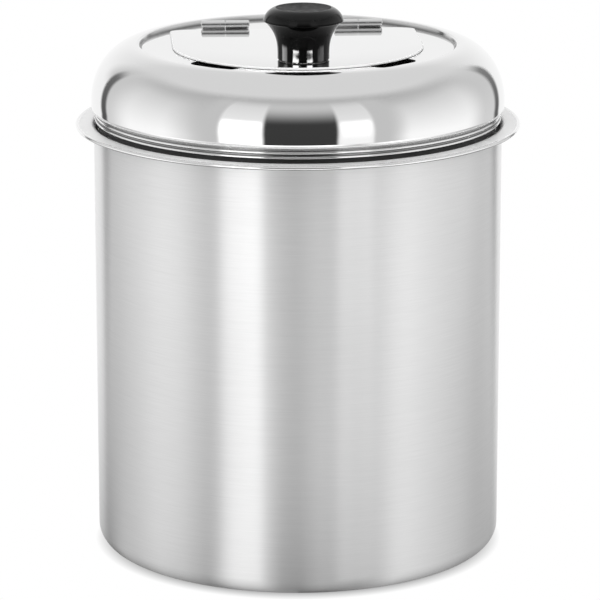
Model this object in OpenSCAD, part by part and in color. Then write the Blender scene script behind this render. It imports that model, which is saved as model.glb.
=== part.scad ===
// Round soup inset for a steam table: a deep-drawn pot with a flange, and a domed lid
// whose hinged flap opens towards the back. The pot's base centre is the origin,
// +Z is up and the knob is towards -Y.

/* [Pot] */
// Outside diameter of the pot's wall
pot_d = 213; // [180:1:300]
// Height of the flange's top above the base
pot_h = 226.5; // [120:0.5:320]
// Thickness of the drawn sheet
pot_sheet = 0.8; // [0.6:0.1:1.2]
// Outside radius between the wall and the base
pot_corner_r = 9.6; // [4:0.2:20]
// Inside radius of the bend from the wall to the flange
mouth_r = 2.6; // [1.6:0.1:3]
// Width of the flange beyond the wall
flange_w = 9.5; // [7:0.5:20]
// Diameter of the bead rolled along the flange's edge
flange_bead_d = 1.9; // [1.6:0.1:3]
// How far that bead stands above the flange
flange_bead_rise = 0.35; // [0:0.05:0.7]

/* [Lid shell] */
// Thickness of the lid's sheet
lid_sheet = 0.8; // [0.6:0.1:1]
// How far the lid's wall stands out past the pot's wall
lid_overhang = 1.25; // [0.8:0.05:3]
// Height of the lid's crest above the flange
lid_rise = 41.6; // [40:0.2:60]
// Width of the rounded shoulder
shoulder_w = 24.3; // [15:0.1:28]
// Height of the rounded shoulder
shoulder_h = 29.9; // [15:0.1:30]
// Depth of the recessed top below the crest
recess_depth = 2.5; // [2.2:0.1:6]
// Slope of the recess wall, in degrees
recess_slope = 70; // [55:1:80]
// Outside radius of the crest's inner bend
crest_bend = 1.2; // [1.1:0.1:2]
// Radius between the recess wall and its floor
recess_fillet = 0.9; // [0.4:0.1:1.5]

/* [Lid rim] */
// Height of the rim's bulge above the flange
bulge_z = 9.5; // [9.2:0.1:11.5]
// Radius of the rim's bulge
bulge_r = 3; // [2:0.1:3.3]
// Height of the lower bead above the flange
bead_z = 2.6; // [2:0.1:2.9]
// Distance between the two beads
bead_pitch = 2.4; // [2:0.1:2.7]
// Radius of each bead
bead_r = 0.95; // [0.5:0.05:1]
// How far the neck lies inside the seat ring
neck_step = 0.4; // [0.2:0.05:0.8]
// Depth of the groove under the lower bead
neck_groove = 0.8; // [0.2:0.05:1.2]
// How far that groove reaches below the flange
groove_drop = 1; // [0.4:0.1:1.4]
// How far the lid's skirt reaches into the pot
skirt_depth = 8; // [5:0.5:20]
// Clearance round the skirt in the pot's mouth
lid_fit = 0.3; // [0.2:0.05:1]

/* [Flap] */
// Distance from the flap's round front to the recess wall
flap_margin = 15.8; // [14:0.1:20]
// Thickness of the flap's plate
flap_t = 1; // [0.8:0.1:1.6]
// Gap between the flap and the lid's top
flap_gap = 0.15; // [0.1:0.05:0.5]
// How far the flap laps over the edge of the opening
flap_lap = 5.2; // [3:0.1:9]
// Radius of the flap's back corners
flap_corner = 6; // [2:0.5:9]

/* [Ladle notches] */
// Angle of each notch from the front
notch_angle = 42.5; // [35:0.5:55]
// Width of a notch
notch_w = 29; // [20:0.5:34]
// Corner radius of a notch
notch_corner = 6; // [2:0.5:9]
// Distance from a notch's outer edge to the recess wall
notch_margin = 8.4; // [3:0.1:10]

/* [Hinges] */
// How much nearer to the lid's middle the hinge line lies than the flap's front edge
hinge_inset = 15.8; // [14.4:0.2:28]
// Distance from a hinge to the flap's straight side
hinge_edge = 17.3; // [10:0.1:24]
// Length of a hinge
hinge_len = 25; // [16:0.5:30]
// Outside diameter of a knuckle
barrel_d = 4; // [3.8:0.1:5]
// Diameter of a hinge pin
pin_d = 2; // [1.4:0.1:2]
// Running clearance round a pin
pin_fit = 0.05; // [0.02:0.01:0.1]
// Gap between the two knuckles of a hinge
knuckle_gap = 0.3; // [0.2:0.05:0.6]
// Gap between a knuckle and the flap's top
barrel_gap = 0.3; // [0.2:0.05:0.6]
// Thickness of a hinge leaf
leaf_t = 0.8; // [0.6:0.05:0.9]
// Length of a hinge leaf
leaf_l = 12; // [8:0.5:14]
// Diameter of a pin's riveted head
pin_head_d = 3; // [2.6:0.1:3.4]
// Thickness of a pin's riveted head
pin_head_t = 0.5; // [0.3:0.1:1]
// Clearance round a hinge in the lid's top
hinge_clear = 0.3; // [0.2:0.05:1]

/* [Knob] */
// Distance from the knob's middle to the flap's front edge
knob_inset = 22.5; // [21:0.1:34]
// Diameter of the knob's foot
knob_foot_d = 26.4; // [20:0.2:32]
// Diameter of the knob's rim
knob_rim_d = 40.8; // [34:0.2:48]
// Height of the knob
knob_h = 26.4; // [24:0.1:36]
// Height of the rim above the knob's foot
knob_rim_z = 20; // [16:0.1:22]
// Radius of the rounded rim
knob_rim_r = 0.6; // [0.4:0.1:1.2]
// Diameter of the knob's top face
knob_top_d = 28.4; // [20:0.2:32]
// How far the head's side swells out between its rim and its top
knob_bow = 1.3; // [0.4:0.1:1.8]
// Depth of the dished top
knob_dish = 0.7; // [0.3:0.1:2]
// Straight height of the knob's foot
knob_foot_h = 0.8; // [0.4:0.1:3]

/* [Knob fixing] */
// Diameter of the screw's shank
screw_d = 4.8; // [4:0.1:6]
// Clearance round the screw
screw_fit = 0.3; // [0.2:0.05:0.6]
// Diameter of the screw's head
screw_head_d = 9; // [8:0.1:11]
// Height of the screw's head
screw_head_h = 2.5; // [2:0.1:4]
// How far the screw reaches into the insert
screw_reach = 11; // [8:0.5:12]
// Diameter of the threaded insert
insert_d = 8; // [7.6:0.1:10]
// Length of the threaded insert
insert_l = 13; // [12.5:0.5:15]
// Assembly clearance of the insert and the screw's thread
thread_fit = 0.05; // [0.02:0.01:0.1]
// Diameter of the washer under the knob
base_washer_d = 24.6; // [20:0.2:26]
// Thickness of the washer under the knob
base_washer_t = 0.6; // [0.4:0.1:1.2]
// Diameter of the spring washer
lock_washer_d = 8.8; // [8:0.1:11]
// Thickness of the spring washer
lock_washer_t = 1.2; // [0.8:0.1:1.6]
// Width of the split in the spring washer
lock_split = 0.8; // [0.5:0.1:1.5]

/* [Hidden] */
$fn = 96;

steel = [0.78, 0.78, 0.79];
bright = [0.88, 0.88, 0.89];
dark_steel = [0.62, 0.62, 0.64];
phenolic = [0.05, 0.05, 0.055];
brass = [0.78, 0.62, 0.30];
fibre = [0.10, 0.09, 0.09];

// Small overlap that joins solids of one piece
eps = 0.01;

// Pot
wall_r = pot_d / 2;
mouth_in = wall_r - pot_sheet;
bend_c = mouth_in + mouth_r;
bend_z = pot_h - mouth_r;
flange_r = wall_r + flange_w;
bead_c = flange_r - flange_bead_d / 2;
bead_zc = pot_h + flange_bead_rise - flange_bead_d / 2;

// Lid shell
lid_r = wall_r + lid_overhang;
crest_c = lid_r - shoulder_w;
crest_z = pot_h + lid_rise;
shoulder_z = crest_z - shoulder_h;
floor_z = crest_z - recess_depth;
slope_top = crest_z - crest_bend + crest_bend * cos(recess_slope);
slope_low = floor_z + recess_fillet - recess_fillet * cos(recess_slope);
slope_run = (slope_top - slope_low) / tan(recess_slope);
floor_r = crest_c - (crest_bend + recess_fillet) * sin(recess_slope) - slope_run;

// Lid rim
bulge_c = lid_r - bulge_r;
bulge_zc = pot_h + bulge_z;
bulge_turn = 75;
seat_r = mouth_in - lid_fit;
neck_r = seat_r - neck_step;
groove_r = neck_r - neck_groove;
groove_in = groove_r - lid_sheet;
skirt_in = seat_r - lid_sheet;
skirt_z = pot_h - skirt_depth;
low_bead = pot_h + bead_z;
high_bead = low_bead + bead_pitch;
neck_top = bulge_zc - bulge_r * sin(bulge_turn) - bead_r / 3;

// Flap and opening
flap_r = floor_r - flap_margin;
flap_z = floor_z + flap_gap;
flap_top = flap_z + flap_t;
open_r = flap_r - flap_lap;

// Hinges
hinge_y = flap_r - hinge_inset;
hinge_z = flap_top + barrel_gap + barrel_d / 2;
flap_back = hinge_y - barrel_d / 2 - hinge_clear;
hinge_x = flap_r - hinge_edge - hinge_len / 2;
knuckle_l = (hinge_len - knuckle_gap) / 2;
open_back = flap_back - flap_lap;
notch_out = floor_r - notch_margin;

// Knob
knob_y = knob_inset - flap_r;
knob_z = flap_top + base_washer_t;
foot_edge = 0.3;
hole_r = screw_d / 2 + screw_fit;

// Points on a circular arc, from one angle to another
function arc(c, r, a0, a1, n) =
    [for (i = [0:n]) let (a = a0 + (a1 - a0) * i / n) [c[0] + r * cos(a), c[1] + r * sin(a)]];

// Points on a quarter of an ellipse, from its top to its side
function quarter(c, w, h, n) =
    [for (i = [0:n]) let (a = 90 - 90 * i / n) [c[0] + w * cos(a), c[1] + h * sin(a)]];

// Points on a flare that widens with a power of its height, bottom to top
function flare(r0, r1, z0, z1, p, n) =
    [for (i = [0:n]) let (t = i / n) [r0 + (r1 - r0) * pow(t, p), z0 + (z1 - z0) * t]];

// Points on an arc from one point to another that swells out to the right of its chord
function bow(a, b, swell, n) =
    let (d = b - a, l = norm(d), r = l * l / 8 / swell + swell / 2)
    let (out = [d[1], -d[0]] / l, mid = atan2(out[1], out[0]), half = asin(l / 2 / r))
    arc((a + b) / 2 - out * (r - swell), r, mid - half, mid + half, n);

// Points of a list in the opposite order
function reversed(v) = [for (i = [len(v) - 1:-1:0]) v[i]];

// Closed outline between the outer and the inner line of a turned sheet
module turned(outer, inner) {
    rotate_extrude($fn = 180) polygon(concat(outer, reversed(inner)));
}

module inset_pot() {
    outer = concat([[0, 0]],
        arc([wall_r - pot_corner_r, pot_corner_r], pot_corner_r, -90, 0, 12),
        arc([bend_c, bend_z], mouth_r - pot_sheet, 180, 90, 8),
        [[bead_c, pot_h - pot_sheet]]);
    inner = concat([[0, pot_sheet]],
        arc([wall_r - pot_corner_r, pot_corner_r], pot_corner_r - pot_sheet, -90, 0, 12),
        arc([bend_c, bend_z], mouth_r, 180, 90, 8),
        [[bead_c, pot_h]]);
    color(steel) union() {
        turned(outer, inner);
        rotate_extrude($fn = 180)
            translate([bead_c, bead_zc])
                circle(d = flange_bead_d, $fn = 32);
    }
}

// U-shaped outline: a half round at the front and straight sides to rounded corners at the back
module u_outline(r, back) {
    intersection() {
        circle(r = r, $fn = 180);
        translate([-r, -r]) square([2 * r, r + eps]);
    }
    translate([-r, 0]) square([2 * r, back - flap_corner]);
    translate([flap_corner - r, 0]) square([2 * (r - flap_corner), back]);
    for (s = [-1, 1])
        translate([s * (r - flap_corner), back - flap_corner]) circle(r = flap_corner, $fn = 48);
}

// Notch with rounded outer corners, from the opening out to a given distance
module notch_outline() {
    rotate(notch_angle) {
        translate([-notch_w / 2, -(notch_out - notch_corner)])
            square([notch_w, notch_out - notch_corner - open_r / 2]);
        translate([-notch_w / 2 + notch_corner, -notch_out])
            square([notch_w - 2 * notch_corner, notch_out - open_r / 2]);
        for (s = [-1, 1])
            translate([s * (notch_w / 2 - notch_corner), -(notch_out - notch_corner)])
                circle(r = notch_corner, $fn = 48);
    }
}

// Everything that is cut out of the lid's flat top
module opening_outline() {
    u_outline(open_r, open_back);
    for (m = [0, 1]) mirror([m, 0]) notch_outline();
    for (s = [-1, 1])
        translate([s * hinge_x - hinge_len / 2 - hinge_clear, 0])
            square([hinge_len + 2 * hinge_clear, hinge_y + barrel_d / 2 + hinge_clear]);
}

module lid_cover() {
    outer = concat([[0, floor_z]],
        arc([floor_r, floor_z + recess_fillet], recess_fillet, -90, recess_slope - 90, 6),
        arc([crest_c, crest_z - crest_bend], crest_bend, recess_slope + 90, 90, 6),
        quarter([crest_c, shoulder_z], shoulder_w, shoulder_h, 28),
        arc([bulge_c, bulge_zc], bulge_r, 0, -bulge_turn, 8),
        [[neck_r, neck_top]],
        arc([neck_r - bead_r / 8, high_bead], bead_r, 80, -80, 8),
        arc([neck_r + bead_r / 8, low_bead], bead_r, 80, -80, 8),
        [[groove_r, low_bead - bead_r],
         [groove_r, pot_h - groove_drop],
         [seat_r, bend_z],
         [seat_r, skirt_z + lid_sheet],
         [seat_r - lid_sheet / 2, skirt_z]]);
    inner = concat([[0, floor_z - lid_sheet]],
        arc([floor_r, floor_z + recess_fillet], recess_fillet + lid_sheet, -90, recess_slope - 90, 6),
        arc([crest_c, crest_z - crest_bend], crest_bend - lid_sheet, recess_slope + 90, 90, 6),
        quarter([crest_c, shoulder_z], shoulder_w - lid_sheet, shoulder_h - lid_sheet, 28),
        arc([bulge_c, bulge_zc], bulge_r - lid_sheet, 0, -bulge_turn, 8),
        [[groove_in, neck_top - bead_r / 3],
         [groove_in, pot_h - groove_drop - lid_sheet / 2],
         [skirt_in, bend_z - lid_sheet / 2],
         [skirt_in, skirt_z]]);
    color(bright) difference() {
        turned(outer, inner);
        translate([0, 0, floor_z - 2 * lid_sheet])
            linear_extrude(3 * lid_sheet) opening_outline();
    }
}

module lid_flap() {
    color(bright) difference() {
        translate([0, 0, flap_z]) linear_extrude(flap_t) u_outline(flap_r, flap_back);
        translate([0, knob_y, flap_z - 1]) cylinder(r = hole_r, h = flap_t + 2);
    }
}

// Tube of a hinge along X, with its bore
module knuckle(x0) {
    translate([x0, hinge_y, hinge_z]) rotate([0, 90, 0]) difference() {
        cylinder(d = barrel_d, h = knuckle_l);
        translate([0, 0, -1]) cylinder(d = pin_d + 2 * pin_fit, h = knuckle_l + 2);
    }
}

// Leaf under the lid's top, with its web and knuckle on the right half
module lid_leaf(x) {
    web_y = hinge_y + barrel_d / 2 - leaf_t;
    leaf_z = floor_z - lid_sheet - leaf_t;
    color(dark_steel) union() {
        translate([x - hinge_len / 2, web_y, leaf_z]) cube([hinge_len, leaf_l, leaf_t]);
        difference() {
            translate([x + knuckle_gap / 2, web_y, leaf_z]) cube([knuckle_l, leaf_t, hinge_z - leaf_z]);
            bore_cut(x);
        }
        knuckle(x + knuckle_gap / 2);
    }
}

// Leaf under the flap, with its web and knuckle on the left half
module flap_leaf(x) {
    leaf_z = flap_z - leaf_t;
    web_y = hinge_y - barrel_d / 2;
    color(dark_steel) union() {
        translate([x - hinge_len / 2, web_y + leaf_t - leaf_l, leaf_z])
            cube([hinge_len, leaf_l, leaf_t]);
        difference() {
            translate([x - hinge_len / 2, web_y, leaf_z]) cube([knuckle_l, leaf_t, hinge_z - leaf_z]);
            bore_cut(x);
        }
        knuckle(x - hinge_len / 2);
    }
}

// Room for the pin where a web runs past the bore
module bore_cut(x) {
    translate([x - hinge_len, hinge_y, hinge_z]) rotate([0, 90, 0])
        cylinder(d = pin_d + 2 * pin_fit, h = 2 * hinge_len);
}

// Pin with a riveted head at each end
module hinge_pin(x) {
    reach = hinge_len / 2 + pin_fit;
    color(steel) translate([x, hinge_y, hinge_z]) rotate([0, 90, 0]) {
        translate([0, 0, -reach]) cylinder(d = pin_d, h = 2 * reach);
        for (s = [-1, 1])
            translate([0, 0, s * (reach + pin_head_t / 2)])
                cylinder(d = pin_head_d, h = pin_head_t, center = true);
    }
}

module hinge_left_lid_leaf() { lid_leaf(-hinge_x); }
module hinge_left_flap_leaf() { flap_leaf(-hinge_x); }
module hinge_left_pin() { hinge_pin(-hinge_x); }
module hinge_right_lid_leaf() { lid_leaf(hinge_x); }
module hinge_right_flap_leaf() { flap_leaf(hinge_x); }
module hinge_right_pin() { hinge_pin(hinge_x); }

module knob() {
    foot_r = knob_foot_d / 2;
    rim_r = knob_rim_d / 2;
    top_r = knob_top_d / 2;
    dish_r = (top_r * top_r + knob_dish * knob_dish) / (2 * knob_dish);
    dish_a = asin(top_r / dish_r);
    lip = arc([rim_r - knob_rim_r, knob_rim_z], knob_rim_r, -45, 10, 6);
    profile = concat([[0, 0], [foot_r - foot_edge, 0], [foot_r, foot_edge]],
        flare(foot_r, rim_r - knob_rim_r, knob_foot_h, knob_rim_z - knob_rim_r, 3, 24),
        lip,
        bow(lip[len(lip) - 1], [top_r, knob_h], knob_bow, 12),
        arc([0, knob_h + dish_r - knob_dish], dish_r, dish_a - 90, -90, 10));
    color(phenolic) translate([0, knob_y, knob_z]) difference() {
        rotate_extrude($fn = 120) polygon(profile);
        translate([0, 0, -1]) cylinder(d = insert_d + 2 * thread_fit, h = insert_l + thread_fit + 1);
    }
}

module knob_insert() {
    color(brass) translate([0, knob_y, knob_z]) difference() {
        cylinder(d = insert_d, h = insert_l);
        translate([0, 0, -1]) cylinder(d = screw_d + 2 * thread_fit, h = screw_reach + 1.5);
    }
}

module knob_base_washer() {
    color(fibre) translate([0, knob_y, flap_top]) difference() {
        cylinder(d = base_washer_d, h = base_washer_t);
        translate([0, 0, -1]) cylinder(r = hole_r, h = base_washer_t + 2);
    }
}

module knob_lock_washer() {
    color(steel) translate([0, knob_y, flap_z - lock_washer_t]) difference() {
        cylinder(d = lock_washer_d, h = lock_washer_t);
        translate([0, 0, -1]) cylinder(r = hole_r, h = lock_washer_t + 2);
        translate([0, -lock_split / 2, -1]) cube([lock_washer_d, lock_split, lock_washer_t + 2]);
    }
}

module knob_screw() {
    seat_z = flap_z - lock_washer_t;
    color(steel) translate([0, knob_y, seat_z]) difference() {
        union() {
            translate([0, 0, -screw_head_h]) cylinder(d = screw_head_d, h = screw_head_h);
            translate([0, 0, -eps])
                cylinder(d = screw_d, h = knob_z - seat_z + screw_reach + eps);
        }
        for (a = [0, 90])
            rotate(a) translate([-screw_head_d / 3, -0.6, -screw_head_h - eps])
                cube([screw_head_d / 1.5, 1.2, screw_head_h / 2]);
    }
}

inset_pot();
lid_cover();
lid_flap();
hinge_left_lid_leaf();
hinge_left_flap_leaf();
hinge_left_pin();
hinge_right_lid_leaf();
hinge_right_flap_leaf();
hinge_right_pin();
knob();
knob_insert();
knob_base_washer();
knob_lock_washer();
knob_screw();
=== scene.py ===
"""Looks of a round stainless soup inset: brushed pot, polished domed lid with a hinged flap, black knob.

Lengths are in metres in the part's own frame: the pot's base centre is the origin, +Z is up and the
knob is towards -Y.
"""

from math import asin, atan2, cos, pi, radians, sin, sqrt, tan

import bmesh
import bpy
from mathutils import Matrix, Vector


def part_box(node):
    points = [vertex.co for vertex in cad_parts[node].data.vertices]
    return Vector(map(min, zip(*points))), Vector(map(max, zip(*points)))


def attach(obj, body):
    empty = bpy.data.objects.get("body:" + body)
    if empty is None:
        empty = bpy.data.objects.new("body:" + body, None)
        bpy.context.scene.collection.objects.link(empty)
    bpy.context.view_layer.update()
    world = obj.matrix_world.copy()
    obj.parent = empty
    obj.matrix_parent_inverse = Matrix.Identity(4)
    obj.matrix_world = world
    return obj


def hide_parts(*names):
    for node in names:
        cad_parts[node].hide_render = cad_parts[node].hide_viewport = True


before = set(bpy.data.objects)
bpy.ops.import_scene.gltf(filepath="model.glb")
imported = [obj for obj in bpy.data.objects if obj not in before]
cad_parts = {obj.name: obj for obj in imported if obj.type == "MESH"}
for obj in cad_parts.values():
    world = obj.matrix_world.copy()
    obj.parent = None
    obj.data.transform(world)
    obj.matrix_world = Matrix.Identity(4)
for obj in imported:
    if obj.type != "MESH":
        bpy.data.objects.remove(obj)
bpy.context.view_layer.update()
MM = 0.001

# Sizes read from the frame
pot_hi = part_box("inset_pot")[1]
lid_lo, lid_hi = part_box("lid_cover")
flap_lo, flap_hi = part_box("lid_flap")
knob_lo, knob_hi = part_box("knob")
pin_lo, pin_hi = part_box("hinge_right_pin")
leaf_lo, leaf_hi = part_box("hinge_right_lid_leaf")

# Pot
flange_bead_d = 1.9 * MM
flange_bead_rise = 0.35 * MM
# Below this angle under its outer side the flange's bead gets painted shade
bead_shade = radians(25)
flange_r = pot_hi.x
pot_h = pot_hi.z - flange_bead_rise
pot_sheet = 0.8 * MM
flange_w = 9.5 * MM
wall_r = flange_r - flange_w
corner_r = 9.6 * MM
mouth_r = 2.6 * MM
flange_fall = 0.3 * MM
mouth_in = wall_r - pot_sheet
bend_z = pot_h - mouth_r

# Lid
lid_r = lid_hi.x
crest_z = lid_hi.z
skirt_z = lid_lo.z
lid_sheet = 0.8 * MM
shoulder_w = 24.3 * MM
shoulder_h = 29.9 * MM
recess_depth = 2.5 * MM
recess_slope = radians(70)
crest_bend = 1.2 * MM
recess_fillet = 0.9 * MM
bulge_rise = 9.5 * MM
bulge_r = 3.0 * MM
bulge_turn = radians(75)
bead_rise = 2.6 * MM
bead_pitch = 2.4 * MM
bead_r = 0.95 * MM
bead_shift = bead_r / 8
bead_tilt = radians(80)
bead_lit = (radians(38), radians(-18))
neck_rise = bead_r / 3
lid_fit = 0.3 * MM
neck_step = 0.4 * MM
neck_groove = 0.8 * MM
groove_drop = 1.0 * MM
crest_c = lid_r - shoulder_w
shoulder_z = crest_z - shoulder_h
floor_z = crest_z - recess_depth
seat_r = mouth_in - lid_fit
neck_r = seat_r - neck_step
groove_r = neck_r - neck_groove
groove_in = groove_r - lid_sheet
skirt_in = seat_r - lid_sheet

# Flap and opening
flap_r = flap_hi.x
flap_back = flap_hi.y
flap_lap = 5.2 * MM
flap_corner = 6.0 * MM
flap_edge_w = 0.6 * MM
flap_edge_h = 0.85 * MM
screw_hole_r = 2.7 * MM
open_r = flap_r - flap_lap
open_back = flap_back - flap_lap
notch_turn = radians(42.5)
notch_w = 29.0 * MM
notch_corner = 6.0 * MM
notch_margin = 8.4 * MM

# Hinges
hinge_x = (pin_lo.x + pin_hi.x) / 2
hinge_y = (pin_lo.y + pin_hi.y) / 2
hinge_z = (pin_lo.z + pin_hi.z) / 2
hinge_len = leaf_hi.x - leaf_lo.x
barrel_r = 2.0 * MM
pin_r = 1.0 * MM
pin_head_r = (pin_hi.z - pin_lo.z) / 2
pin_head_t = 0.5 * MM
pin_play = 0.05 * MM
knuckle_gap = 0.3 * MM
curl_turn = radians(318)
flap_curl_start = radians(-70)
leaf_t = 0.8 * MM
leaf_l = 12.0 * MM
leaf_corner = 2.0 * MM
hinge_clear = 0.3 * MM

# Knob
knob_y = (knob_lo.y + knob_hi.y) / 2
knob_z = knob_lo.z
knob_h = knob_hi.z - knob_lo.z
knob_rim = (knob_hi.x - knob_lo.x) / 2
knob_foot = 13.2 * MM
knob_foot_h = 0.8 * MM
knob_foot_edge = 0.3 * MM
knob_rim_z = 20.0 * MM
knob_rim_r = 0.6 * MM
knob_lip = (radians(-45), radians(10))
knob_top = 14.2 * MM
knob_dish = 0.7 * MM
knob_bow = 1.3 * MM
knob_bore_r = 4.05 * MM
knob_bore_l = 13.05 * MM

# Camera, as seen from the pot's axis
view_turn = radians(-3.8)
view_reach = 1.891
view_height = 0.6169
view_aim = Vector((0.0011, 0.0, 0.1295))
view_lens = 221.4
view_sensor = 36.0

# Facets round a full turn, of most pieces and of the knob
TURN = 360
KNOB_TURN = 192

# Points closer than the first are joined, and sharp edges are rounded over the width of the second
WELD = 1e-7
edge_soft = 0.12 * MM


def arc(c, r, a0, a1, n):
    """Points on a circular arc about c, from one angle to another, in radians."""
    steps = [a0 + (a1 - a0) * i / n for i in range(n + 1)]
    return [(c[0] + r * cos(a), c[1] + r * sin(a)) for a in steps]


def quarter(c, w, h, n):
    """Points on a quarter of an ellipse, from its top to its side."""
    steps = [pi / 2 - pi / 2 * i / n for i in range(n + 1)]
    return [(c[0] + w * cos(a), c[1] + h * sin(a)) for a in steps]


def flare(r0, r1, z0, z1, power, n):
    """Points on a flare that widens with a power of its height, bottom to top."""
    steps = [i / n for i in range(n + 1)]
    return [(r0 + (r1 - r0) * t ** power, z0 + (z1 - z0) * t) for t in steps]


def bow(a, b, swell, n):
    """Points on an arc from one point to another that swells out to the right of its chord."""
    along = Vector(b) - Vector(a)
    out = Vector((along.y, -along.x)).normalized()
    radius = along.length ** 2 / 8 / swell + swell / 2
    middle = atan2(out.y, out.x)
    half = asin(along.length / 2 / radius)
    centre = (Vector(a) + Vector(b)) / 2 - out * (radius - swell)
    return arc(centre, radius, middle - half, middle + half, n)


def line(p, q, n):
    """Points on a straight line, without its two ends."""
    return [(p[0] + (q[0] - p[0]) * i / n, p[1] + (q[1] - p[1]) * i / n) for i in range(1, n)]


def new_piece(name, bm, body, replaces, materials, sharp=40):
    """Makes a piece from a bmesh, rides it on its body and gives it its materials."""
    bmesh.ops.remove_doubles(bm, verts=bm.verts, dist=WELD)
    bmesh.ops.recalc_face_normals(bm, faces=bm.faces)
    mesh = bpy.data.meshes.new(name)
    bm.to_mesh(mesh)
    bm.free()
    for m in materials:
        mesh.materials.append(m)
    mesh.shade_smooth()
    mesh.set_sharp_from_angle(angle=radians(sharp))
    piece = bpy.data.objects.new(name, mesh)
    bpy.context.scene.collection.objects.link(piece)
    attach(piece, body)
    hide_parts(replaces)
    return piece


def lathe(bm, runs, turn=TURN, y=0.0):
    """Turns runs of (points, material index) about a vertical axis at that y. A run's index goes
    to the faces that start at its points."""
    points = [(p, index) for run, index in runs for p in run]
    rings = []
    for (r, z), _ in points:
        if r < WELD:
            rings.append([bm.verts.new((0, y, z))])
            continue
        angles = [2 * pi * i / turn for i in range(turn)]
        rings.append([bm.verts.new((r * cos(a), y + r * sin(a), z)) for a in angles])
    for k in range(len(rings) - 1):
        a, b = rings[k], rings[k + 1]
        for i in range(turn):
            j = (i + 1) % turn
            if len(a) == 1:
                corners = (a[0], b[i], b[j])
            elif len(b) == 1:
                corners = (a[i], b[0], a[j])
            else:
                corners = (a[i], b[i], b[j], a[j])
            bm.faces.new(corners).material_index = points[k][1]
    return rings


def fill(bm, loops, index):
    """Fills the flat area between loops of vertices."""
    around = []
    for loop in loops:
        for i in range(len(loop)):
            pair = (loop[i - 1], loop[i])
            around.append(bm.edges.get(pair) or bm.edges.new(pair))
    made = bmesh.ops.triangle_fill(bm, use_beauty=True, use_dissolve=False, edges=around)
    for item in made["geom"]:
        if isinstance(item, bmesh.types.BMFace):
            item.material_index = index


def plate(bm, outline, z0, z1):
    """Closed plate between two heights, with a loop of points as its outline."""
    low, high = [[bm.verts.new((x, y, z)) for x, y in outline] for z in (z0, z1)]
    for loop in (low, high):
        fill(bm, (loop,), 0)
    for i in range(len(low)):
        bm.faces.new((low[i - 1], low[i], high[i], high[i - 1]))


def soften(piece, limit):
    """Rounds a piece's edges that turn by more than a limit, as on real sheet and turned work."""
    bevel = piece.modifiers.new("edges", "BEVEL")
    bevel.width = edge_soft
    bevel.segments = 2
    bevel.limit_method = "ANGLE"
    bevel.angle_limit = radians(limit)
    bevel.harden_normals = True


class Nodes:
    """A node tree, with short calls for the nodes that the finishes and the stage share."""

    def __init__(self, tree):
        self.tree = tree

    def node(self, kind, **values):
        """New node of a kind, with its settings."""
        made = self.tree.nodes.new(kind)
        for key, value in values.items():
            setattr(made, key, value)
        return made

    def link(self, a, b):
        """Joins an output to an input."""
        self.tree.links.new(a, b)

    def place(self, scale):
        """Coordinates on the object, stretched by a scale for each axis."""
        where = self.node("ShaderNodeTexCoord")
        mapping = self.node("ShaderNodeMapping")
        mapping.inputs["Scale"].default_value = scale
        self.link(where.outputs["Object"], mapping.inputs["Vector"])
        return mapping.outputs["Vector"]

    def noise(self, vector, detail, rough=0.55):
        """Value that varies smoothly over the coordinates."""
        made = self.node("ShaderNodeTexNoise")
        made.inputs["Scale"].default_value = 1.0
        made.inputs["Detail"].default_value = detail
        made.inputs["Roughness"].default_value = rough
        self.link(vector, made.inputs["Vector"])
        return made.outputs["Fac"]

    def span(self, value, low, high, start=0.3, stop=0.7):
        """Maps a value from start..stop to low..high."""
        made = self.node("ShaderNodeMapRange")
        made.inputs["From Min"].default_value = start
        made.inputs["From Max"].default_value = stop
        made.inputs["To Min"].default_value = low
        made.inputs["To Max"].default_value = high
        self.link(value, made.inputs["Value"])
        return made.outputs["Result"]

    def math(self, operation, a, b=0.0):
        """Joins two values, each a socket or a number, by the operation's name."""
        made = self.node("ShaderNodeMath", operation=operation)
        for value, socket in zip((a, b), made.inputs):
            if isinstance(value, (int, float)):
                socket.default_value = value
            else:
                self.link(value, socket)
        return made.outputs["Value"]

    def blend(self, value, a, b):
        """Mixes two values by a third."""
        made = self.node("ShaderNodeMix", data_type="FLOAT")
        for socket, name in ((value, "Factor"), (a, "A"), (b, "B")):
            self.link(socket, made.inputs[name])
        return made.outputs["Result"]

    def tint(self, value, dark, light):
        """Mixes two colours by a value."""
        made = self.node("ShaderNodeMix", data_type="RGBA")
        made.inputs["A"].default_value = (*dark, 1.0)
        made.inputs["B"].default_value = (*light, 1.0)
        self.link(value, made.inputs["Factor"])
        return made.outputs["Result"]


class Shader(Nodes):
    """A material's nodes round its main shader."""

    def __init__(self, name):
        self.material = bpy.data.materials.new(name)
        self.material.use_nodes = True
        super().__init__(self.material.node_tree)
        self.bsdf = self.tree.nodes["Principled BSDF"]

    def finish(self, colour, value, rough, spread):
        """Links a colour, and a roughness that varies with a value by a share to each side."""
        self.link(colour, self.bsdf.inputs["Base Color"])
        varied = self.span(value, rough * (1 - spread), rough * (1 + spread))
        self.link(varied, self.bsdf.inputs["Roughness"])

    def bump(self, value, strength, distance):
        """Raises the surface a little with a value."""
        made = self.node("ShaderNodeBump")
        made.inputs["Strength"].default_value = strength
        made.inputs["Distance"].default_value = distance
        self.link(value, made.inputs["Height"])
        self.link(made.outputs["Normal"], self.bsdf.inputs["Normal"])

    def set(self, **values):
        """Sets numbers and colours on the main shader."""
        for key, value in values.items():
            self.bsdf.inputs[key.replace("_", " ")].default_value = value


def grey(level, share=1.0):
    """Neutral colour at a share of a level."""
    return (level * share, level * share, level * share)


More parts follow.
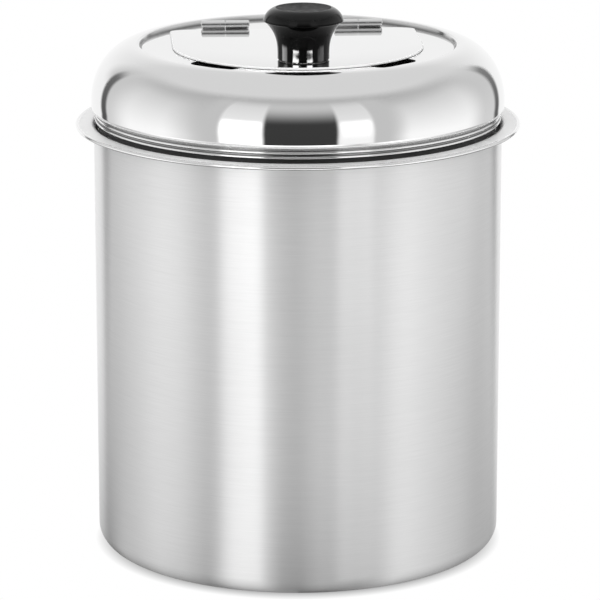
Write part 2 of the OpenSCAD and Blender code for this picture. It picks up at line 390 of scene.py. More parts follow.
def brushed(name, level, rough):
    """Steel with fine level brush lines round the pot, which draw reflections out up and down it."""
    s = Shader(name)
    lines = s.noise(s.place((45.0, 45.0, 3200.0)), detail=5.0, rough=0.65)
    cloud = s.noise(s.place((9.0, 9.0, 6.0)), detail=2.0)
    tone = s.tint(s.span(lines, 0.0, 1.0), grey(level, 0.965), grey(level, 1.035))
    s.finish(tone, cloud, rough, 0.05)
    s.bump(lines, 0.03, 0.02 * MM)
    s.set(Metallic=1.0, Anisotropic=1.0, Anisotropic_Rotation=0.25)
    around = s.node("ShaderNodeTangent", direction_type="RADIAL", axis="Z")
    s.link(around.outputs["Tangent"], s.bsdf.inputs["Tangent"])
    return s.material


def polished(name, level, rough, metal=1.0):
    """Mirror-polished steel with a faint haze that varies over the surface."""
    s = Shader(name)
    haze = s.noise(s.place((22.0, 22.0, 22.0)), detail=4.0)
    s.finish(s.tint(s.span(haze, 0.0, 1.0), grey(level, 0.985), grey(level)), haze, rough, 0.3)
    s.set(Metallic=metal)
    return s.material


def crease_painted_shade(name, level, rough, dark, low, high):
    """Polished steel with painted shade: its colour darkens down into a corner, from one height to another.
    """
    s = Shader(name)
    haze = s.noise(s.place((22.0, 22.0, 22.0)), detail=4.0)
    split = s.node("ShaderNodeSeparateXYZ")
    s.link(s.place((1.0, 1.0, 1.0)), split.inputs["Vector"])
    rise = s.span(split.outputs["Z"], 0.0, 1.0, low, high)
    s.finish(s.tint(rise, grey(dark), grey(level)), haze, rough, 0.3)
    s.set(Metallic=1.0)
    return s.material


def phenolic(name, rough, ior):
    """Black moulded resin with a faint unevenness."""
    s = Shader(name)
    grain = s.noise(s.place((300.0, 300.0, 300.0)), detail=4.0)
    s.finish(s.tint(grain, grey(0.001), grey(0.003)), grain, rough, 0.2)
    s.bump(grain, 0.02, 0.05 * MM)
    s.set(IOR=ior)
    return s.material


def plain(name, colour, rough, metal):
    """Plain turned metal or fibre, mottled a little."""
    s = Shader(name)
    mottle = s.noise(s.place((200.0, 200.0, 200.0)), detail=4.0)
    s.finish(s.tint(mottle, [c * 0.85 for c in colour], colour), mottle, rough, 0.2)
    s.bump(mottle, 0.05, 0.05 * MM)
    s.set(Metallic=metal)
    return s.material


wall_steel = brushed("wall_steel", 0.90, 0.38)
inner_steel = brushed("inner_steel", 0.74, 0.36)
rim_steel = polished("rim_steel", 0.90, 0.10)
flange_steel = polished("flange_steel", 0.92, 0.40, 0.4)
# Dark steel as painted shade, under the flange's bead and on the lid's beads, neck and slope
painted_shade_steel = polished("painted_shade_steel", 0.26, 0.25)
# Recess steel with painted shade that darkens it down into its corner
recess_painted_shade = crease_painted_shade("recess_painted_shade", 0.86, 0.18, 0.16, floor_z, crest_z - recess_depth / 8)
lid_steel = polished("lid_steel", 0.855, 0.04)
# Near-black colour in the groove between the lid and the flange, as painted shade
groove_painted_shade = plain("groove_painted_shade", grey(0.03), 0.45, 0.4)
under_steel = polished("under_steel", 0.76, 0.22)
edge_steel = polished("edge_steel", 0.88, 0.60, 0.0)
hinge_steel = polished("hinge_steel", 0.82, 0.24)
screw_steel = plain("screw_steel", (0.62, 0.62, 0.64), 0.30, 1.0)
brass = plain("brass", (0.72, 0.53, 0.24), 0.30, 1.0)
fibre = plain("fibre", (0.035, 0.033, 0.033), 0.55, 0.0)
black_gloss = phenolic("black_gloss", 0.08, 1.20)
black_head = phenolic("black_head", 0.14, 1.34)
black_satin = phenolic("black_satin", 0.45, 1.18)


def build_pot():
    """Drawn pot: brushed outside and inside, with a bright flange and a rolled bead."""
    bend = (mouth_in + mouth_r, bend_z + flange_fall)
    foot = (wall_r - corner_r, corner_r)
    roll_r = flange_bead_d / 2
    bead = (flange_r - roll_r, pot_h + flange_bead_rise - roll_r)
    below = asin((pot_sheet + flange_bead_rise - roll_r) / roll_r)
    above = asin((roll_r - flange_bead_rise) / roll_r)
    outside = [(0.0, 0.0)] + line((0.0, 0.0), (foot[0], 0.0), 12) + arc(foot, corner_r, -pi / 2, 0, 24)
    wall_top = (wall_r, bend[1])
    outside += line(outside[-1], wall_top, 24)
    # Painted shade: the run under the flange and the underside of its bead get dark steel
    under = arc(bend, mouth_r - pot_sheet, pi, pi / 2, 12)
    under += arc(bead, roll_r, pi + below, 2 * pi - bead_shade, 12)
    rim = arc(bead, roll_r, 2 * pi - bead_shade, 3 * pi - above, 28)
    flat = line(rim[-1], (bend[0], pot_h + flange_fall), 4)
    flat += arc(bend, mouth_r, pi / 2, pi, 16)
    rim, flat = rim[:-1], rim[-1:] + flat
    inside = line(flat[-1], (mouth_in, corner_r), 24)
    inside += arc(foot, corner_r - pot_sheet, 0, -pi / 2, 20)
    inside += line(inside[-1], (0.0, pot_sheet), 12) + [(0.0, pot_sheet)]
    bm = bmesh.new()
    brush, bright, within, satin, shade = range(5)
    lathe(bm, [(outside, brush), (under, shade), (rim, bright), (flat, satin), (inside, within)])
    materials = (wall_steel, rim_steel, inner_steel, flange_steel, painted_shade_steel)
    new_piece("pot_shell", bm, "pot", "inset_pot", materials)


def recess_edge():
    """Radius at which the recessed top begins to rise into its wall."""
    top = crest_z - crest_bend + crest_bend * cos(recess_slope)
    low = floor_z + recess_fillet - recess_fillet * cos(recess_slope)
    run = (top - low) / tan(recess_slope)
    return crest_c - (crest_bend + recess_fillet) * sin(recess_slope) - run


def notch_points():
    """Outline of the right ladle notch, from the front end of its cut in the opening to the back end."""
    half = notch_w / 2
    start = -sqrt(open_r ** 2 - half ** 2)
    out = -(recess_edge() - notch_margin)
    inner = half - notch_corner
    points = [(-half, start)]
    points += arc((-inner, out + notch_corner), notch_corner, pi, 1.5 * pi, 12)
    points += arc((inner, out + notch_corner), notch_corner, 1.5 * pi, 2 * pi, 12)
    points += [(half, start)]
    c, s = cos(notch_turn), sin(notch_turn)
    return [(c * x - s * y, s * x + c * y) for x, y in points]


def opening_outline():
    """Loop of the opening in the lid's top: round front, notches, round corners and hinge cut-outs."""
    spread = asin(notch_w / 2 / open_r)
    first = -pi / 2 + notch_turn - spread
    last = -pi / 2 + notch_turn + spread
    back = hinge_y + barrel_r + hinge_clear
    half = hinge_len / 2 + hinge_clear
    corner = (open_r - flap_corner, open_back - flap_corner)
    right = arc((0, 0), open_r, -pi / 2, first, 24)[:-1] + notch_points()
    right += arc((0, 0), open_r, last, 0, 28)[1:]
    right += arc(corner, flap_corner, 0, pi / 2, 12)
    right += [(hinge_x + half, open_back), (hinge_x + half, back)]
    right += [(hinge_x - half, back), (hinge_x - half, open_back)]
    left = [(-x, y) for x, y in reversed(right[1:])]
    return right + left


def bead_arc(centre, start, stop):
    """Part of a bead's round face, without its last point."""
    return arc(centre, bead_r, start, stop, 8)[:-1]


def build_lid():
    """Pressed lid: turned shell with a flat recessed top, which holds the opening."""
    polish, within, dark, shade, crease = range(5)
    low_bead = pot_h + bead_rise
    bulge = (lid_r - bulge_r, pot_h + bulge_rise)
    neck_top = bulge[1] - bulge_r * sin(bulge_turn) - neck_rise
    fillet = (recess_edge(), floor_z + recess_fillet)
    crest = (crest_c, crest_z - crest_bend)
    dome = (crest_c, shoulder_z)
    lean = recess_slope - pi / 2
    high = (neck_r - bead_shift, low_bead + bead_pitch)
    low = (neck_r + bead_shift, low_bead)
    recess = arc(fillet, recess_fillet, -pi / 2, lean, 12)
    recess += arc(crest, crest_bend, recess_slope + pi / 2, pi / 2, 16)
    outer = quarter(dome, shoulder_w, shoulder_h, 96)[1:]
    outer += line((lid_r, shoulder_z), (lid_r, bulge[1]), 4)
    outer += arc(bulge, bulge_r, 0, -bulge_turn, 20)
    # Painted shade on the beads: their upper and lower faces get dark steel and only the band between
    # bead_lit's angles stays polished; the lower bead's underside gets the near-black groove colour
    beads = []
    for centre, foot in ((high, shade), (low, dark)):
        beads += [(bead_arc(centre, bead_tilt, bead_lit[0]), shade), (bead_arc(centre, *bead_lit), polish),
                  (bead_arc(centre, bead_lit[1], -bead_tilt), foot)]
    groove = [(groove_r, low_bead - bead_r)]
    slope = [(groove_r, pot_h - groove_drop)]
    inner = [(seat_r, bend_z), (seat_r, skirt_z + lid_sheet)]
    inner += [(seat_r - lid_sheet / 2, skirt_z), (skirt_in, skirt_z)]
    inner += [(skirt_in, bend_z - lid_sheet / 2), (groove_in, pot_h - groove_drop - lid_sheet / 2)]
    inner += [(groove_in, neck_top - neck_rise)]
    inner += arc(bulge, bulge_r - lid_sheet, -bulge_turn, 0, 8)
    inner += list(reversed(quarter(dome, shoulder_w - lid_sheet, shoulder_h - lid_sheet, 24)))
    inner += arc(crest, crest_bend - lid_sheet, pi / 2, recess_slope + pi / 2, 8)
    inner += arc(fillet, recess_fillet + lid_sheet, lean, -pi / 2, 8)
    bm = bmesh.new()
    # The recess darkens into its corner as painted shade; the neck and the slope below the groove get dark
    # steel as painted shade, and the groove near-black painted shade
    runs = [(recess, crease), (outer, polish), ([(neck_r, neck_top)], shade)] + beads
    runs += [(groove, dark), (slope, shade), (inner, within)]
    rings = lathe(bm, runs)
    loop = opening_outline()
    rims = []
    for ring, z, index in ((rings[0], floor_z, polish), (rings[-1], floor_z - lid_sheet, within)):
        rims.append([bm.verts.new((x, y, z)) for x, y in loop])
        fill(bm, (rims[-1], ring), index)
    top, under = rims
    for i in range(len(loop)):
        bm.faces.new((top[i - 1], top[i], under[i], under[i - 1])).material_index = within
    materials = (lid_steel, under_steel, groove_painted_shade, painted_shade_steel, recess_painted_shade)
    return new_piece("lid_shell", bm, "lid", "lid_cover", materials)


def flap_outline(inset):
    """Loop of the flap, drawn in by an inset: round front, round corners and a tongue under each hinge."""
    corner = (flap_r - flap_corner, flap_back - flap_corner)
    back, tip, half = flap_back - inset, hinge_y - inset, hinge_len / 2 - inset
    outline = arc((0, 0), flap_r - inset, pi, 2 * pi, 120)
    outline += arc(corner, flap_corner - inset, 0, pi / 2, 12)
    for middle in (hinge_x, -hinge_x):
        left, right = middle - half, middle + half
        outline += [(right, back), (right, tip), (left, tip), (left, back)]
    outline += arc((-corner[0], corner[1]), flap_corner - inset, pi / 2, pi, 12)
    return outline


def build_flap():
    """U-shaped polished plate with a rounded upper edge and a hole for the knob's screw."""
    polish, rounded = range(2)
    edge = [(flap_edge_w - w, flap_hi.z - flap_edge_h + h)
            for w, h in reversed(quarter((0.0, 0.0), flap_edge_w, flap_edge_h, 10))]
    bm = bmesh.new()
    levels = [(0.0, flap_lo.z)] + edge
    loops = [[bm.verts.new((x, y, z)) for x, y in flap_outline(inset)] for inset, z in levels]
    hole = arc((0, knob_y), screw_hole_r, 0, 2 * pi, 48)[:-1]
    wells = [[bm.verts.new((x, y, z)) for x, y in hole] for z in (flap_lo.z, flap_hi.z)]
    fill(bm, (loops[0], wells[0]), polish)
    fill(bm, (loops[-1], wells[1]), polish)
    for low, high in list(zip(loops, loops[1:])) + [wells]:
        for i in range(len(low)):
            bm.faces.new((low[i - 1], low[i], high[i], high[i - 1])).material_index = rounded
    return new_piece("flap_plate", bm, "flap", "lid_flap", (lid_steel, edge_steel))


def strip(bm, path, thick, x0, x1):
    """Sheet of even thickness bent along a path in the YZ plane, from x0 to x1. The path is the
    sheet's left face as it is followed."""
    left, right = [], []
    for i, (y, z) in enumerate(path):
        a = path[max(i - 1, 0)]
        b = path[min(i + 1, len(path) - 1)]
        size = sqrt((b[0] - a[0]) ** 2 + (b[1] - a[1]) ** 2)
        left.append((y, z))
        right.append((y + (b[1] - a[1]) / size * thick, z - (b[0] - a[0]) / size * thick))
    ends = [[bm.verts.new((x, y, z)) for y, z in left + right[::-1]] for x in (x0, x1)]
    n = len(left)
    for i in range(2 * n):
        j = (i + 1) % (2 * n)
        bm.faces.new((ends[0][i], ends[0][j], ends[1][j], ends[1][i]))
    for end in ends:
        for i in range(n - 1):
            bm.faces.new((end[i], end[i + 1], end[2 * n - 2 - i], end[2 * n - 1 - i]))


def leaf_outline(x, way):
    """Outline of a leaf's flat part, with its far corners rounded."""
    web = hinge_y + way * (barrel_r - leaf_t)
    far = web + way * leaf_l
    half = hinge_len / 2
    corner = arc((half - leaf_corner, leaf_l - leaf_corner), leaf_corner, 0, pi / 2, 8)
    right = [(half, 0.0)] + corner
    left = [(-u, v) for u, v in reversed(right)]
    return [(x + u, far - way * (leaf_l - v)) for u, v in right + left]


def build_leaf(name, node, body, x, back):
    """Hinge leaf of bent sheet whose end is rolled into a knuckle. The lid's leaf runs towards the
    back with its knuckle on the right half, the flap's towards the front with it on the left."""
    wrap = barrel_r - pin_r - pin_play
    knuckle = (hinge_len - knuckle_gap) / 2
    x0 = x + knuckle_gap / 2 if back else x - hinge_len / 2
    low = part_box(node)[0].z
    start = 0.0 if back else flap_curl_start
    curl = arc((hinge_y, hinge_z), barrel_r, start, curl_turn + start, 48)
    foot = (curl[0][0], low + leaf_t)
    path = [foot] + line(foot, curl[0], 4) + curl
    if back:
        path = path[::-1]
    else:
        path = [(2 * hinge_y - y, z) for y, z in path]
    bm = bmesh.new()
    strip(bm, path, wrap, x0, x0 + knuckle)
    plate(bm, leaf_outline(x, 1 if back else -1), low, low + leaf_t)
    piece = new_piece(name, bm, body, node, (hinge_steel,))
    soften(piece, 50)


def build_pin(name, node, x):
    """Hinge pin with a domed head at each end."""
    reach = hinge_len / 2 + pin_play
    dome = quarter((0.0, reach), pin_head_r, pin_head_t, 8)[::-1]
    half = [(pin_r, 0.0), (pin_r, reach), (pin_head_r, reach)] + dome[1:]
    profile = [(r, -z) for r, z in reversed(half)] + half[1:]
    bm = bmesh.new()
    lathe(bm, [(profile, 0)], turn=32)
    for v in bm.verts:
        v.co = Vector((x + v.co.z, hinge_y + v.co.y, hinge_z - v.co.x))
    new_piece(name, bm, "lid", node, (hinge_steel,))


def build_knob():
    """Moulded knob: glossy flared waist, a thin lip, a round head and a satin dished top."""
    gloss, cap, satin = range(3)
    dish_r = (knob_top ** 2 + knob_dish ** 2) / (2 * knob_dish)
    dish_a = asin(knob_top / dish_r)
    waist = [(knob_bore_r, 0.0), (knob_foot - knob_foot_edge, 0.0), (knob_foot, knob_foot_edge)]
    waist += flare(knob_foot, knob_rim - knob_rim_r, knob_foot_h, knob_rim_z - knob_rim_r, 3, 48)
    lip = arc((knob_rim - knob_rim_r, knob_rim_z), knob_rim_r, *knob_lip, 10)
    head = bow(lip[-1], (knob_top, knob_h), knob_bow, 24)[1:]
    dish = arc((0.0, knob_h + dish_r - knob_dish), dish_r, dish_a - pi / 2, -pi / 2, 16)[1:]
    bore = [(0.0, knob_bore_l), (knob_bore_r, knob_bore_l)]
    runs = [(waist + lip, gloss), (head[:-1], cap), (head[-1:] + dish, satin)]
    runs = [([(r, z + knob_z) for r, z in points], index) for points, index in runs]
    bm = bmesh.new()
    rings = lathe(bm, runs, KNOB_TURN, knob_y)
    well = lathe(bm, [([(r, z + knob_z) for r, z in bore], gloss)], KNOB_TURN, knob_y)
    for i in range(KNOB_TURN):
        bm.faces.new((well[1][i - 1], well[1][i], rings[0][i], rings[0][i - 1]))
    materials = (black_gloss, black_head, black_satin)
    return new_piece("knob_body", bm, "flap", "knob", materials, sharp=35)


def dress(node, material):
    """Gives a solid that is shown as it is its material and softened edges."""
    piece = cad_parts[node]
    piece.data.materials.clear()
    piece.data.materials.append(material)
    soften(piece, 40)


build_pot()
lid = build_lid()
flap = build_flap()
for side, sign in (("left", -1), ("right", 1)):
    x = sign * hinge_x
    build_leaf(f"{side}_lid_leaf", f"hinge_{side}_lid_leaf", "lid", x, True)
    build_leaf(f"{side}_flap_leaf", f"hinge_{side}_flap_leaf", "flap", x, False)
    build_pin(f"{side}_pin", f"hinge_{side}_pin", x)
knob = build_knob()
dress("knob_insert", brass)
dress("knob_base_washer", fibre)
dress("knob_lock_washer", screw_steel)
dress("knob_screw", screw_steel)


# Stage: the studio's cards stand on spheres round the first point, and the knob's strips round the
# second. The strips shine over the distances in the window, which end at the knob's waist. The last
# value is the level of the white world as a light.
card_centre = Vector((0.0, 0.0, 0.22))
strip_centre = Vector((0.0, knob_y, floor_z))
strip_reach = 600.0 * MM
strip_window = (565.0 * MM, 591.0 * MM)
strip_edge = 2.0 * MM
strip_rises = (4, 23)
lamp_size = 1.0
lamp_reach = 1.8
world_light = 0.6


def towards(turn, rise, reach, lean=0.0, centre=card_centre):
    """Point seen from a centre at a turn to the right of the camera and a rise above the horizon,
    in degrees, on a sphere that leans towards the back."""
    a, e, tip = radians(turn), radians(rise), radians(lean)
    x, y, z = sin(a) * cos(e), -cos(a) * cos(e), sin(e)
    y, z = y * cos(tip) + z * sin(tip), z * cos(tip) - y * sin(tip)
    c, s = cos(view_turn), sin(view_turn)
    return centre + reach * Vector((c * x - s * y, s * x + c * y, z))


def hide_stage(made):
    """Leaves a card to the polished surfaces alone."""
    made.visible_camera = False
    made.visible_diffuse = False
    made.visible_shadow = False
    made.visible_transmission = False


def card_mesh(name, turns, rises, reach, lean=0.0, centre=card_centre):
    """Curved patch with its place across and up it as UV."""
    n = 48
    bm = bmesh.new()
    uv = bm.loops.layers.uv.new("card")
    steps = [i / n for i in range(n + 1)]
    grid = [[bm.verts.new(towards(turns[0] + (turns[1] - turns[0]) * u,
                                  rises[0] + (rises[1] - rises[0]) * v, reach, lean, centre))
             for v in steps] for u in steps]
    for i in range(n):
        for j in range(n):
            corners = ((i, j), (i + 1, j), (i + 1, j + 1), (i, j + 1))
            face = bm.faces.new([grid[a][b] for a, b in corners])
            for corner, (a, b) in zip(face.loops, corners):
                corner[uv].uv = (a / n, b / n)
    mesh = bpy.data.meshes.new(name)
    bm.to_mesh(mesh)
    bm.free()
    return mesh


def card_mask(s, u, v, turns, rises, soft):
    """1 inside a card, fading to 0 over its soft borders."""
    side = soft[0] / (turns[1] - turns[0])
    low, high = (width / (rises[1] - rises[0]) for width in soft[1:])
    mask = None
    for value, edge, inside in ((u, 0.0, side), (u, 1.0, 1 - side), (v, 0.0, low), (v, 1.0, 1 - high)):
        if edge == inside:
            continue
        ramp = s.node("ShaderNodeMapRange", interpolation_type="SMOOTHSTEP")
        ramp.inputs["From Min"].default_value = edge
        ramp.inputs["From Max"].default_value = inside
        s.link(value, ramp.inputs["Value"])
        mask = s.math("MULTIPLY", mask, ramp.outputs["Result"]) if mask else ramp.outputs["Result"]
    return mask


def show_card(name, mesh, s, both, sockets, glow):
    """Joins a card's glow to clear glass and puts it on the stage."""
    clear = s.node("ShaderNodeBsdfTransparent")
    for shader, socket in zip((clear.outputs["BSDF"], glow.outputs["Emission"]), sockets):
        s.link(shader, both.inputs[socket])
    s.link(both.outputs["Shader"], s.tree.nodes["Material Output"].inputs["Surface"])
    mesh.materials.append(s.material)
    made = bpy.data.objects.new(name, mesh)
    bpy.context.scene.collection.objects.link(made)
    hide_stage(made)
    return made


def card_shader(name):
    """Empty shader with a card's place across and up it."""
    s = Shader(name)
    s.tree.nodes.remove(s.bsdf)
    split = s.node("ShaderNodeSeparateXYZ")
    s.link(s.node("ShaderNodeTexCoord").outputs["UV"], split.inputs["Vector"])
    return s, split.outputs["X"], split.outputs["Y"]


def card(name, turns, rises, levels, soft, reach, lean=0.0):
    """Curved reflection card. levels are its brightness at its lower and upper edge, and soft the
    width of its faded borders: side, lower and upper, in degrees."""
    s, u, v = card_shader(name)
    glow = s.node("ShaderNodeEmission")
    s.link(s.span(v, levels[0], levels[1], 0.0, 1.0), glow.inputs["Strength"])
    both = s.node("ShaderNodeMixShader")
    s.link(card_mask(s, u, v, turns, rises, soft), both.inputs["Fac"])
    show_card(name, card_mesh(name, turns, rises, reach, lean), s, both, (1, 2), glow)


def strip_card(name, turns, rises, level, soft):
    """Bright strip for the knob. It shines only at its own distance from the knob, where one mirror
    shows it in another, and lets the cards show through it."""
    s, u, v = card_shader(name)
    path = s.node("ShaderNodeLightPath").outputs
    near, far = strip_window
    share = card_mask(s, u, v, turns, rises, soft)
    for value, low, high, start, stop in ((path["Glossy Depth"], 0.0, 1.0, 1.0, 2.0),
                                          (path["Glossy Depth"], 1.0, 0.0, 2.0, 3.0),
                                          (path["Ray Length"], 0.0, level, near, near + strip_edge),
                                          (path["Ray Length"], 1.0, 0.0, far - strip_edge, far)):
        share = s.math("MULTIPLY", share, s.span(value, low, high, start, stop))
    glow = s.node("ShaderNodeEmission")
    s.link(share, glow.inputs["Strength"])
    s.material.cycles.emission_sampling = "NONE"
    mesh = card_mesh(name, turns, rises, strip_reach, centre=strip_centre)
    return show_card(name, mesh, s, s.node("ShaderNodeAddShader"), (0, 1), glow)


def build_cards():
    """Studio tent: side, front and back walls, an overhead diffuser, two softboxes and a dark front."""
    card("ring", (-150, 150), (12, 60), (0.50, 0.50), (20, 14, 2), 3.2, lean=12)
    card("tent_left", (-134, -36), (-30, 54), (0.80, 0.50), (4, 2, 12), 3.1)
    card("tent_right", (36, 142), (-30, 54), (0.80, 0.50), (4, 2, 12), 3.1)
    card("panel_left", (-128, -54), (-30, 46), (1.30, 0.55), (26, 2, 20), 3.05)
    card("panel_right", (44, 126), (-30, 46), (1.30, 0.55), (22, 2, 20), 3.05)
    card("tent_front", (-64, 64), (-30, 56), (0.62, 0.62), (16, 2, 14), 3.0)
    card("back_sky", (95, 265), (14, 54), (0.78, 0.78), (45, 40, 0), 3.0, lean=12)
    card("ceiling", (-180, 180), (39, 90), (0.76, 0.76), (0, 16, 0), 2.95, lean=12)
    card("dark_front", (-30, 33), (-45, 42), (0.045, 0.05), (10, 2, 30), 2.9)
    card("softbox_left", (-45, -17), (-25, 52), (1.2, 0.72), (3, 2, 14), 2.85)
    card("softbox_right", (20, 43), (-25, 52), (1.1, 0.72), (3, 2, 14), 2.85)
    card("lamp_left_front", (-44, -18), (-25, 20), (1.5, 2.2), (4, 2, 10), 2.8)
    card("lamp_right_front", (21, 42), (-25, 20), (0.8, 1.7), (4, 2, 10), 2.8)
    card("gap_left", (-140, -128), (-30, 30), (0.05, 0.20), (4, 2, 14), 2.9)
    card("gap_right", (136, 149), (-30, 30), (0.05, 0.30), (5, 2, 14), 2.9)


def build_strips():
    """Bright strips that shine in the black knob by way of the lid and the flap."""
    only = bpy.data.collections.new("strips")
    for piece in (knob, flap, lid):
        only.objects.link(piece)
    for name, turns, level, soft in (("strip_left", (-48, -20), 150, (2, 1, 3)),
                                     ("strip_right", (15, 41), 150, (2, 1, 3)),
                                     ("strip_far_left", (-111, -73), 20, (9, 1, 8)),
                                     ("strip_far_right", (62, 104), 7, (9, 1, 8))):
        made = strip_card(name, turns, strip_rises, level, soft)
        made.light_linking.receiver_collection = only


def seen_rays(s):
    """1 for rays that see the stage: straight, mirrored or through glass."""
    path = s.node("ShaderNodeLightPath").outputs
    return s.math("MAXIMUM", s.math("MAXIMUM", path["Is Camera Ray"], path["Is Glossy Ray"]),
                  path["Is Transmission Ray"])


def build_world():
    """White studio: white where it is seen, softer as a light."""
    world = bpy.data.worlds.new("studio")
    bpy.context.scene.world = world
    world.use_nodes = True
    s = Nodes(world.node_tree)
    sky = s.tree.nodes["Background"]
    s.link(s.span(seen_rays(s), world_light, 1.0, 0.0, 1.0), sky.inputs["Strength"])
    sky.inputs["Color"].default_value = (1.0, 1.0, 1.0, 1.0)


# Brightness of the floor in the metal, beside the pot and further out, by the turn in degrees, to the
# right of the camera, at which the front of the wall sends a ray there
floor_near = ((-180, 0.60), (-137, 0.21), (-122, 0.50), (-109, 0.48), (-88, 0.68), (-70, 0.61), (-53, 0.36),
              (-45, 0.62), (-37, 0.86), (-22, 0.87), (-9, 0.41), (1, 0.37), (13, 0.58), (22, 0.48),
              (34, 0.37), (43, 0.50), (58, 0.89), (76, 0.75), (94, 0.59), (117, 0.39), (151, 0.41),
              (180, 0.60))
floor_far = ((-180, 1.00), (-137, 0.70), (-122, 0.56), (-109, 0.64), (-88, 1.18), (-70, 1.26), (-53, 0.85),
             (-45, 0.82), (-30, 1.03), (-16, 1.74), (-8, 1.54), (-1, 1.47), (13, 1.83), (20, 1.71),
             (28, 1.02), (35, 0.69), (58, 1.61), (76, 1.16), (94, 0.85), (117, 0.45), (151, 0.80),
             (180, 1.00))
floor_fade = 450.0 * MM
floor_reach = 900.0 * MM
floor_gap = 0.2 * MM
full_level = 2.0

# The pot's painted shadow on the floor's glow, as it is seen and in the metal: its level under the pot
# and how far it reaches beyond the wall
painted_shadow_seen = (0.4, 2.0 * MM)
painted_shadow_mirrored = (0.25, 6.0 * MM)

# Search for the turn of the wall: the share of the floor's turn that it starts from, and its steps
first_share = 0.6
newton_steps = 4


def mirror_path(s):
    """Turn and length of the ray that comes to the floor here from the front of the pot's wall.

    A ray from the front leaves the wall at twice the wall's own turn, and at a little more because
    such rays spread. Newton's steps find the wall's turn."""
    split = s.node("ShaderNodeSeparateXYZ")
    s.link(s.node("ShaderNodeTexCoord").outputs["Object"], split.inputs["Vector"])
    aside = s.math("ABSOLUTE", split.outputs["X"])
    ahead = s.math("MULTIPLY", split.outputs["Y"], -1.0)
    wall = s.math("MULTIPLY", s.math("ARCTAN2", aside, ahead), first_share)
    for _ in range(newton_steps):
        across, along = s.math("SINE", wall), s.math("COSINE", wall)
        side = s.math("MAXIMUM", s.math("SUBTRACT", aside, s.math("MULTIPLY", across, wall_r)), 0.0)
        front = s.math("SUBTRACT", ahead, s.math("MULTIPLY", along, wall_r))
        square = s.math("ADD", s.math("MULTIPLY", side, side), s.math("MULTIPLY", front, front))
        length = s.math("SQRT", square)
        spread = s.math("MULTIPLY", across, wall_r / view_reach)
        turn = s.math("ADD", s.math("MULTIPLY", wall, 2.0), spread)
        error = s.math("SUBTRACT", turn, s.math("ARCTAN2", side, front))
        slope = s.math("ADD", s.math("DIVIDE", s.math("MULTIPLY", along, wall_r), length), 2.0)
        wall = s.math("SUBTRACT", wall, s.math("DIVIDE", error, slope))
    return s.math("MULTIPLY", turn, s.math("SIGN", split.outputs["X"])), length


def round_level(s, angle, levels):
    """Value at an angle, from levels at turns in degrees."""
    ramp = s.node("ShaderNodeValToRGB")
    stops = ramp.color_ramp.elements
    while len(stops) < len(levels):
        stops.new(0.5)
    for stop, (turn, level) in zip(stops, levels):
        stop.position = turn / 360 + 0.5
        stop.color = (*grey(level / full_level), 1.0)
    s.link(s.span(angle, 0.0, 1.0, -pi, pi), ramp.inputs["Fac"])
    return s.span(ramp.outputs["Color"], 0.0, full_level, 0.0, 1.0)


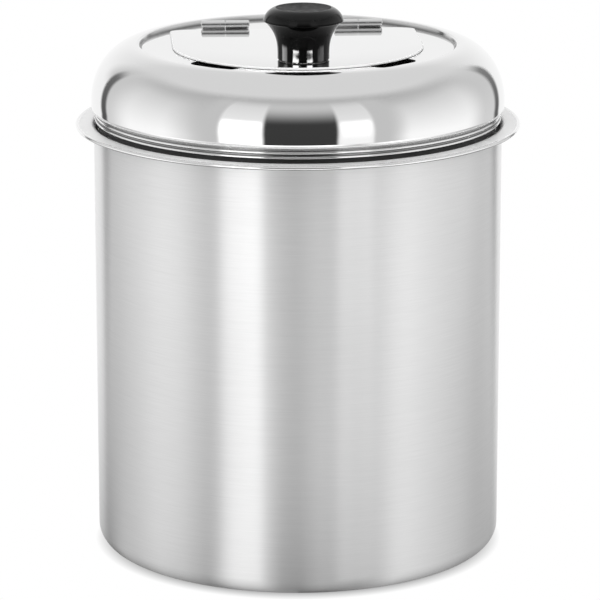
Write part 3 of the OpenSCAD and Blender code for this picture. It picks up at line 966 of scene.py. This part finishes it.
def build_floor():
    """Pale round floor, white where it is seen, with a painted shadow of the pot close round it. In what
    the metal mirrors, the floor has soft bands and a wider painted shadow."""
    bm = bmesh.new()
    lathe(bm, [([(r, 0.0) for r in (0.0, wall_r, floor_reach / 2, floor_reach)], 0)], turn=128)
    mesh = bpy.data.meshes.new("floor")
    bm.to_mesh(mesh)
    bm.free()
    s = Shader("floor")
    s.set(Base_Color=(0.9, 0.9, 0.9, 1.0), Roughness=0.9)
    radius = s.node("ShaderNodeVectorMath", operation="LENGTH")
    s.link(s.node("ShaderNodeTexCoord").outputs["Object"], radius.inputs[0])
    away = radius.outputs["Value"]
    # Painted shadow: the floor's glow is dimmed close round the pot, where it is seen and in the metal
    seen_level_with_painted_shadow = s.span(away, painted_shadow_seen[0], 1.0, wall_r - corner_r, wall_r + painted_shadow_seen[1])
    mirrored_painted_shadow = s.span(away, painted_shadow_mirrored[0], 1.0, wall_r - corner_r / 2, wall_r + painted_shadow_mirrored[1])
    turn, length = mirror_path(s)
    fade = s.span(length, 0.0, 1.0, 0.0, floor_fade)
    bands = s.blend(fade, round_level(s, turn, floor_near), round_level(s, turn, floor_far))
    mirrored = s.math("MULTIPLY", mirrored_painted_shadow, bands)
    path = s.node("ShaderNodeLightPath").outputs
    level = s.blend(path["Is Glossy Ray"], seen_level_with_painted_shadow, mirrored)
    glow = s.node("ShaderNodeEmission")
    s.link(level, glow.inputs["Strength"])
    mix = s.node("ShaderNodeMixShader")
    s.link(seen_rays(s), mix.inputs["Fac"])
    s.link(s.bsdf.outputs["BSDF"], mix.inputs[1])
    s.link(glow.outputs["Emission"], mix.inputs[2])
    s.link(mix.outputs["Shader"], s.tree.nodes["Material Output"].inputs["Surface"])
    mesh.materials.append(s.material)
    made = bpy.data.objects.new("floor", mesh)
    made.location.z = -floor_gap
    made.rotation_euler.z = view_turn
    bpy.context.scene.collection.objects.link(made)


def build_lamps():
    """Two broad lamps for the floor and the black parts, which the metal doesn't mirror."""
    for name, turn, rise, power in (("lamp_left", -45, 45, 14), ("lamp_right", 50, 40, 10)):
        data = bpy.data.lights.new(name, "AREA")
        data.shape = "RECTANGLE"
        data.size = data.size_y = lamp_size
        data.energy = power
        lamp = bpy.data.objects.new(name, data)
        lamp.location = towards(turn, rise, lamp_reach)
        lamp.rotation_mode = "QUATERNION"
        lamp.rotation_quaternion = (card_centre - lamp.location).to_track_quat("-Z", "Y")
        lamp.visible_camera = False
        lamp.visible_glossy = False
        bpy.context.scene.collection.objects.link(lamp)


def build_camera():
    """Long lens in front of the pot and a little above it."""
    data = bpy.data.cameras.new("camera")
    data.lens = view_lens
    data.sensor_width = view_sensor
    camera = bpy.data.objects.new("camera", data)
    camera.location = (view_reach * sin(view_turn), -view_reach * cos(view_turn), view_height)
    aim = Vector((view_aim.x * cos(view_turn), view_aim.x * sin(view_turn), view_aim.z))
    camera.rotation_mode = "QUATERNION"
    camera.rotation_quaternion = (aim - camera.location).to_track_quat("-Z", "Y")
    bpy.context.scene.collection.objects.link(camera)
    bpy.context.scene.camera = camera


build_cards()
build_strips()
build_world()
build_floor()
build_lamps()
build_camera()
bpy.context.scene.view_settings.view_transform = "Standard"
